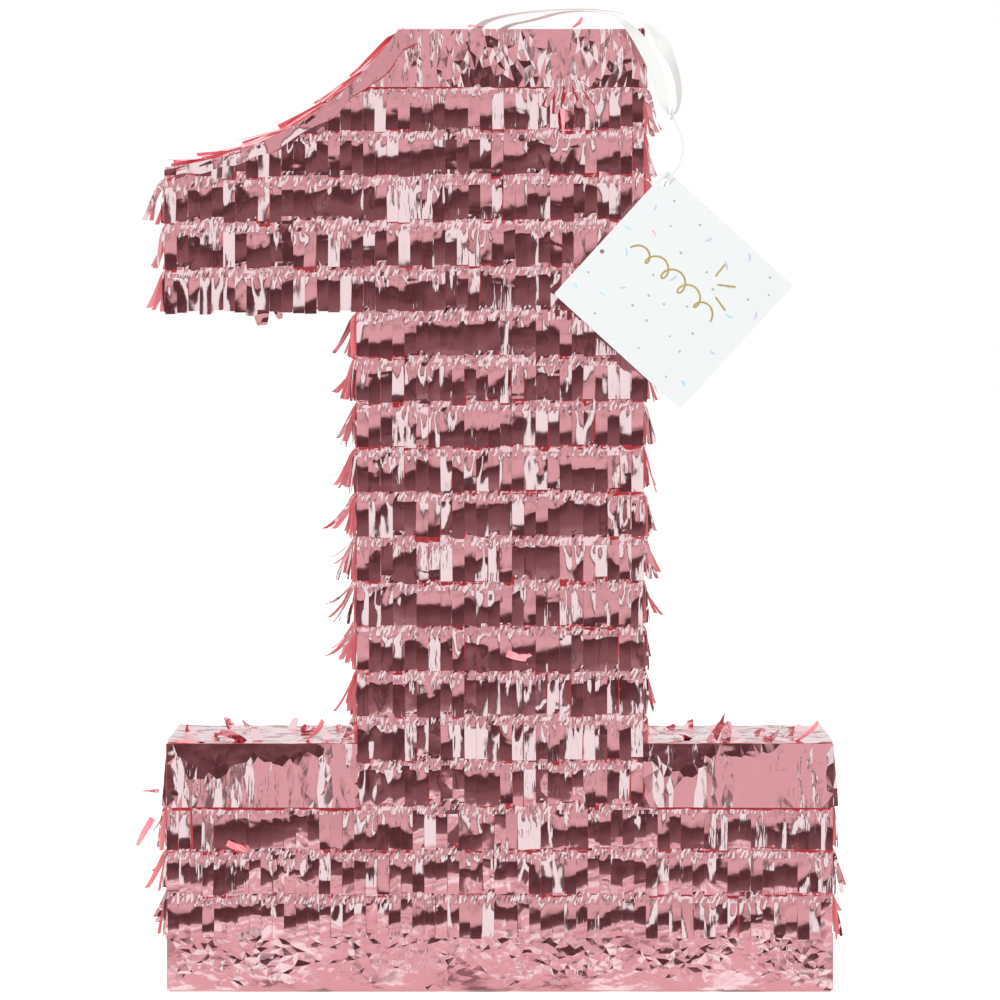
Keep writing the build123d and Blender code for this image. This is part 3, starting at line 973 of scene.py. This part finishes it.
def make_arm_underside():
    """The foil under the arm."""
    node = "arm_underside_foil"
    corner = low(node)
    size = high(node) - corner
    bm = bmesh.new()
    start = (corner.x, corner.y, high(node).z)
    rng = random.Random(71)
    crumpled_panel(bm, start, X, size.x, Y, size.y, -Z, BROAD_FACETS, rng, lambda a, b: (0, 1))
    foil_piece("arm_underside_sheet", bm, node, smooth=False)


# ---- Loose scraps of foil

# Place, way it points, side, length and width in millimetres, and degrees of curl and of twist
SCRAPS = [
    ((-104, -38.4, 300.5), (0.1, 0.05, -1), (-1, 0, 0.1), 9, 7.5, 8, 4),
    ((-97, -38.2, 300.0), (0.3, 0.1, -1), (-1, 0, 0.4), 6, 4.0, 15, 10),
    ((92, -32.0, 108.6), (0.55, -0.1, 0.9), (0.8, -0.5, -0.4), 17, 5.0, 30, 60),
    ((98, -34.0, 108.6), (0.25, -0.1, 0.9), (0.9, -0.4, -0.2), 11, 4.5, 25, -50),
    ((116, -30.0, 108.6), (0.8, -0.2, 0.5), (0.5, -0.8, -0.4), 13, 5.0, 35, 40),
    ((128, -28.0, 108.6), (0.9, -0.1, 0.35), (0.2, -0.9, 0.2), 15, 4.5, 35, 50),
    ((84, -20.0, 108.6), (-0.6, -0.2, 0.5), (0.5, -0.8, 0.4), 12, 4.0, 40, 40),
    ((-128, -30.0, 108.6), (-0.9, -0.2, 0.3), (0.2, -0.9, 0.2), 14, 5.0, 35, 45),
    ((-112, -26.0, 108.6), (-0.6, -0.2, 0.45), (0.5, -0.8, 0.3), 13, 4.5, 30, -60),
    ((-86, -28.0, 108.6), (0.7, -0.2, 0.4), (0.4, -0.9, 0.2), 14, 5.0, 40, 50),
    ((-70, -33.0, 108.8), (0.8, -0.3, 0.5), (0.4, -0.9, -0.3), 12, 5.5, 30, 70),
    ((-119, -41.2, 66.0), (0.9, -0.2, -0.4), (0.3, -0.2, 0.9), 9, 3.0, 20, 60),
    ((-114, -41.4, 64.5), (0.8, -0.3, -0.3), (0.3, -0.2, 0.9), 6, 2.6, 30, -80),
    ((3, -41.6, 149.0), (0.9, -0.3, -0.35), (0.3, -0.1, 0.9), 9, 3.2, 30, 50),
    ((8, -41.6, 147.0), (0.7, -0.4, 0.2), (0.2, -0.1, 0.9), 6, 2.6, 30, -60),
    ((24, -41.0, 397.0), (-0.35, -0.12, -1), (-1, 0.15, 0.35), 12, 3.0, 7, 3),
    ((26, -41.2, 397.5), (-0.1, -0.12, -1), (-1, 0.14, 0.1), 15, 3.2, 6, -3),
    ((29, -41.3, 398.0), (0.15, -0.12, -1), (-1, 0.12, -0.15), 13, 3.2, 7, 2),
    ((32, -41.2, 398.0), (0.4, -0.12, -1), (-1, 0.09, -0.4), 16, 3.4, 6, -2),
    ((35, -41.0, 397.0), (0.6, -0.12, -0.9), (-0.9, 0.08, -0.6), 12, 3.0, 7, 3),
    ((27, -42.2, 385.0), (0.05, -0.1, -1), (1, 0.2, 0), 11, 2.2, 10, 45),
    ((-8, -36.5, 420.2), (-0.5, -0.5, 0.25), (0.8, -0.5, 0.1), 9, 3.0, 40, 60),
    ((31, -36.0, 420.2), (0.8, -0.4, 0.3), (0.4, -0.8, 0.1), 7, 2.8, 40, 60),
    ((-152, -34.0, 76.0), (-0.5, -0.1, -0.8), (0.8, -0.3, -0.5), 14, 3.0, 15, 30),
    ((-149, -36.0, 88.0), (-0.9, -0.1, 0.1), (0.1, -0.5, 0.8), 8, 2.4, 20, 40),
]


def raised_scraps():
    """Short ends of foil that stand up along the tops of the two shoulders."""
    rng = random.Random(83)
    scraps = []
    for side in (-1, 1):
        for i in range(9):
            place = (side * (69 + i * 8.6 + rng.uniform(-3, 3)), rng.uniform(-33, 25), 108.5)
            way = (rng.uniform(-1.0, 1.0), 0.5, rng.uniform(0.2, 0.6))
            across = (1, rng.uniform(-0.3, 0.3), rng.uniform(-0.3, 0.3))
            size = (rng.uniform(5, 9), rng.uniform(3.5, 6.0))
            scraps.append((place, way, across, *size, 20, rng.uniform(-40, 40)))
    return scraps


def make_scraps():
    """Odd strips that escaped while the rows were glued on."""
    bm = bmesh.new()
    for number, (place, way, side, length, width, curl, twist) in enumerate(SCRAPS + raised_scraps()):
        grid = lay_grid(bm, 3, 10)
        way = Vector(way).normalized()
        side = (Vector(side) - way * way.dot(Vector(side))).normalized()
        face = side.cross(way)
        for vertex in grid:
            share = vertex.co.y + 0.5
            bend = radians(curl) * share
            turn = radians(twist) * share
            narrow = 1 - 0.45 * share**2
            across = vertex.co.x * width * narrow
            along = sin(bend) / radians(curl) * length
            off = (1 - cos(bend)) / radians(curl) * length
            off += 0.3 * wobble(share * 4, number, across)
            spot = way * along + face * off
            spot += (side * cos(turn) + face * sin(turn)) * across
            vertex.co = (Vector(place) + spot) * MM
    foil_piece("loose_scraps", bm)


# ---- Stage and light

def lay_disc(name, radius, drop, grey, glow, **settings):
    """A round floor a little below the foot, with some light of its own."""
    bm = bmesh.new()
    bmesh.ops.create_circle(bm, cap_ends=True, segments=96, radius=radius)
    bmesh.ops.translate(bm, verts=bm.verts, vec=(0, 0, -drop))
    floor = mesh_object(name, bm)
    base = (grey, grey, grey, 1)
    finish = Finish(name, Roughness=0.9, Base_Color=base, Emission_Strength=glow, **settings)
    floor.data.materials.append(finish.material)
    return floor, finish


def make_stage():
    """A pale floor that the camera sees, and a small table top that only the foil reflects."""
    floor, _ = lay_disc("studio_floor", 12.0, 0.0, 0.92, 0.42, Emission_Color=(1, 1, 1, 1))
    floor.visible_glossy = False
    floor, finish = lay_disc("reflected_floor", 0.34, 0.3 * MM, 0.05, 1.0)
    glow = finish.step(finish.noise(26.0, detail=2.0), 0.56, 0.05)
    shade = finish.step(finish.noise(31.0, detail=2.0), 0.40, 0.05)
    tone = finish.between(glow, (0.80, 0.69, 0.71, 1), (1.08, 1.60, 1.52, 1))
    finish.feed("Emission Color", finish.between(shade, (0.24, 0.17, 0.18, 1), tone))
    floor.visible_camera = False
    floor.visible_diffuse = False
    floor.visible_shadow = False


PANEL_EVERY = 30.0  # degrees from one bright panel to the next
PANEL_HALF = 4.2  # degrees, half of a panel's width
FLAG_HALF = 6.2  # degrees, out to the black flags' far edges
PANEL_LIGHT = (1.08, 1.72, 1.62, 1)
CEILING_LIGHT = (1.06, 1.58, 1.52, 1)


def light_world():
    """White surroundings. What the foil mirrors is a studio: grey walls, a dark band at table height, and
    bright panels with a black flag on each side."""
    world = bpy.data.worlds.new("studio")
    world.use_nodes = True
    bpy.context.scene.world = world
    nodes = Nodes(world.node_tree)
    background = world.node_tree.nodes["Background"]
    way = nodes.add("ShaderNodeTexCoord", output=0)
    x, y, z = (nodes.add("ShaderNodeSeparateXYZ", None, {0: way}, output=i) for i in range(3))
    height = nodes.add("ShaderNodeMath", {"operation": "ARCSINE"}, {0: z}) * (180 / pi)
    turn = nodes.add("ShaderNodeMath", {"operation": "ARCTAN2"}, {0: x, 1: y}) * (180 / pi)
    cycle = nodes.add("ShaderNodeMath", {"operation": "PINGPONG"}, {0: turn, 1: PANEL_EVERY / 2})
    lamp = nodes.step(cycle, PANEL_EVERY / 2 - PANEL_HALF, 0.3)
    flag = nodes.step(cycle, PANEL_EVERY / 2 - FLAG_HALF, 0.3) * (1 - lamp)
    above = nodes.step(height, 4.0, 0.5)
    below = 1 - nodes.step(height, -17.0, 4.0)
    ceiling = nodes.step(height, 42.0, 4.0)
    blotch = nodes.add("ShaderNodeTexNoise", None, {0: way, "Scale": 5.0, "Detail": 1.0})
    grey = nodes.between(nodes.step(blotch, 0.48, 0.10), (0.60, 0.58, 0.56, 1), (0.86, 0.80, 0.81, 1))
    wall_tone = nodes.between(nodes.step(height, 20.0, 14.0), grey, (0.74, 0.69, 0.69, 1))
    low_band = nodes.step(height, -5.0, 8.0)
    dark_tone = nodes.between(low_band, (0.27, 0.19, 0.20, 1), (0.095, 0.052, 0.056, 1))
    colour = nodes.between(above, dark_tone, wall_tone)
    colour = nodes.between(below, colour, (0.42, 0.36, 0.37, 1))
    colour = nodes.between(flag * 0.9, colour, (0.10, 0.06, 0.065, 1))
    shifted = turn - PANEL_EVERY / 2
    pairs = nodes.add("ShaderNodeMath", {"operation": "PINGPONG"}, {0: shifted, 1: PANEL_EVERY})
    reach = nodes.step(height + 30.0 * (pairs > PANEL_EVERY / 2), 3.0, 0.5)
    colour = nodes.between(lamp * reach, colour, PANEL_LIGHT)
    behind = nodes.step(y, 0.2, 0.1) * nodes.step(height, 3.0, 0.5)
    behind = behind * (1 - nodes.step(height, 13.0, 3.0))
    colour = nodes.between(behind * nodes.step(blotch, 0.53, 0.06), colour, (0.94, 1.02, 1.01, 1))
    colour = nodes.between(ceiling, colour, CEILING_LIGHT)
    rays = nodes.add("ShaderNodeLightPath", output=0)
    glossy = nodes.add("ShaderNodeLightPath", output=3)
    plain = nodes.between(rays, (0.80, 0.80, 0.80, 1), (1.0, 1.0, 1.0, 1))
    nodes.join(nodes.between(glossy, plain, colour), background, "Color")
    background.inputs["Strength"].default_value = 1.0


def add_lamp(name, place, size, power):
    """A soft square lamp that faces the pinata. The foil doesn't mirror it."""
    data = bpy.data.lights.new(name, "AREA")
    data.shape = "SQUARE"
    data.size = size
    data.energy = power
    lamp = add_object(name, data)
    lamp.location = place
    aim_at(lamp, 0.2)
    lamp.visible_glossy = False


# ---- Tag

TAG_TILT = radians(42.4)
TAG_WIDTH = 74.0 * MM
TAG_HEIGHT = 72.0 * MM
TAG_MIDDLE = (low("tag_front_leaf") + high("tag_front_leaf")) / 2
TAG_ACROSS = Vector((cos(TAG_TILT), 0, -sin(TAG_TILT)))
TAG_UP = Vector((sin(TAG_TILT), 0, cos(TAG_TILT)))
TAG_FACE = low("tag_front_leaf").y
PRINT_LIFT = 0.04 * MM


def on_tag(across, up):
    """A point on the tag's front, from its middle."""
    middle = Vector((TAG_MIDDLE.x, TAG_FACE - PRINT_LIFT, TAG_MIDDLE.z))
    return middle + TAG_ACROSS * across + TAG_UP * up


CONFETTI_INKS = [
    (0.55, 0.78, 0.86), (0.87, 0.62, 0.72), (0.72, 0.68, 0.82), (0.60, 0.61, 0.63), (0.62, 0.84, 0.86),
]


MARKS = 40
DEEP_INK = (0.42, 0.03, 0.30)


def make_confetti():
    """Small dots and dashes in pastel ink, thrown over the tag's front."""
    rng = random.Random(21)
    bm = bmesh.new()
    paint = bm.loops.layers.color.new("ink")
    marks = []
    while len(marks) < MARKS:
        across = rng.uniform(-0.46, 0.46) * TAG_WIDTH
        up = rng.uniform(-0.46, 0.46) * TAG_HEIGHT
        if across < -0.36 * TAG_WIDTH and up > 0.34 * TAG_HEIGHT:
            continue
        if all(hypot(across - a, up - b) > 7.5 * MM for a, b in marks):
            marks.append((across, up))
    for number, (across, up) in enumerate(marks):
        dash = rng.random() < 0.42
        colour = CONFETTI_INKS[3 if not dash else rng.choice((0, 1, 2, 4))]
        radius = rng.uniform(0.45, 0.65) * MM
        if number == 5:
            colour, radius, dash = DEEP_INK, 0.95 * MM, False
        made = bmesh.ops.create_circle(bm, cap_ends=True, segments=14, radius=radius)["verts"]
        turn = rng.uniform(0, pi)
        stretch = rng.uniform(2.0, 4.2) if dash else 1.0
        for vertex in made:
            a, b = vertex.co.x * stretch, vertex.co.y * (0.8 if dash else 1.0)
            b += 0.25 * a * a / (2 * MM) if dash else 0
            x = a * cos(turn) - b * sin(turn)
            z = a * sin(turn) + b * cos(turn)
            vertex.co = on_tag(across + x, up + z)
        for face in faces_of(made):
            for loop in face.loops:
                loop[paint] = (*colour, 1)
    bmesh.ops.recalc_face_normals(bm, faces=bm.faces)
    piece = new_piece("tag_confetti", bm, "tag_cover", "tag_card", [INK], smooth=False)
    thicken(piece, 0.02 * MM)


def make_gold_streamer():
    """A gold streamer that curls across the tag, and three short rays at its end."""
    curve = bpy.data.curves.new("streamer_line", "CURVE")
    curve.dimensions = "3D"
    curve.bevel_depth = 0.40 * MM
    curve.bevel_resolution = 2
    loops = 5
    steps = 150
    line = curve.splines.new("POLY")
    line.points.add(steps)
    for i, point in enumerate(line.points):
        share = i / steps
        swing = share * loops * 2 * pi
        grow = sin(pi * min(max(share, 0.04), 0.96)) ** 0.4
        across = (-26 + 47 * share) * MM - 3.0 * MM * grow * sin(swing)
        up = (2.5 + 1.5 * sin(3 * share)) * MM - 3.6 * MM * grow * cos(swing)
        point.co = (*on_tag(across, up), 1)
    for a0, b0, a1, b1 in ((9.5, 16.5, 9.0, 23.0), (12.6, 14.5, 19.0, 19.0), (15.6, 10.0, 22.6, 8.5)):
        ray = curve.splines.new("POLY")
        ray.points.add(1)
        ray.points[0].co = (*on_tag(a0 * MM, b0 * MM), 1)
        ray.points[1].co = (*on_tag(a1 * MM, b1 * MM), 1)
    bm = bmesh.new()
    bm.from_mesh(as_mesh(add_object("streamer_guide", curve)))
    for vertex in bm.verts:
        vertex.co.y = TAG_FACE - PRINT_LIFT + (vertex.co.y - TAG_FACE + PRINT_LIFT) * 0.15
    new_piece("tag_gold_line", bm, "tag_cover", "tag_card", [GOLD])


# ---- Carried-over CAD nodes

def finish_cad():
    """Give the carried-over pieces their finishes."""
    finishes = {
        "carcass_board": BOARD,
        "edge_tape": TAPE,
        "pink_foil": FOIL,
        "stick_wood": WOOD,
        "ribbon_satin": SATIN,
        "thread_white": TWINE,
        "tag_card": CARD,
    }
    for entry in frame["record"]["subparts"]:
        node = frame["nodes"][entry["node"]]
        node.data.materials.clear()
        node.data.materials.append(finishes[entry["material_slot"]])


add_camera()
make_ribbon(SATIN)
make_thread(TWINE)
finish_cad()
for row in range(1, ROW_COUNT + 1):
    make_row(row)
make_slope_fringe()
make_top_band()
make_slope_edge()
make_shoulder("right_shoulder_sheet", "right_shoulder_foil", 1, RIGHT_FOLD)
make_shoulder("left_shoulder_sheet", "left_shoulder_foil", -1, LEFT_FOLD)
make_bottom_wrap()
make_arm_underside()
make_scraps()
make_confetti()
make_gold_streamer()
make_stage()
light_world()
add_lamp("key_lamp", (-1.2, -1.8, 2.0), 1.2, 18)
add_lamp("fill_lamp", (1.6, -1.4, 1.2), 1.4, 9)
add_lamp("back_lamp", (0.6, 1.8, 1.6), 1.2, 8)
bpy.context.scene.view_settings.view_transform = "Standard"
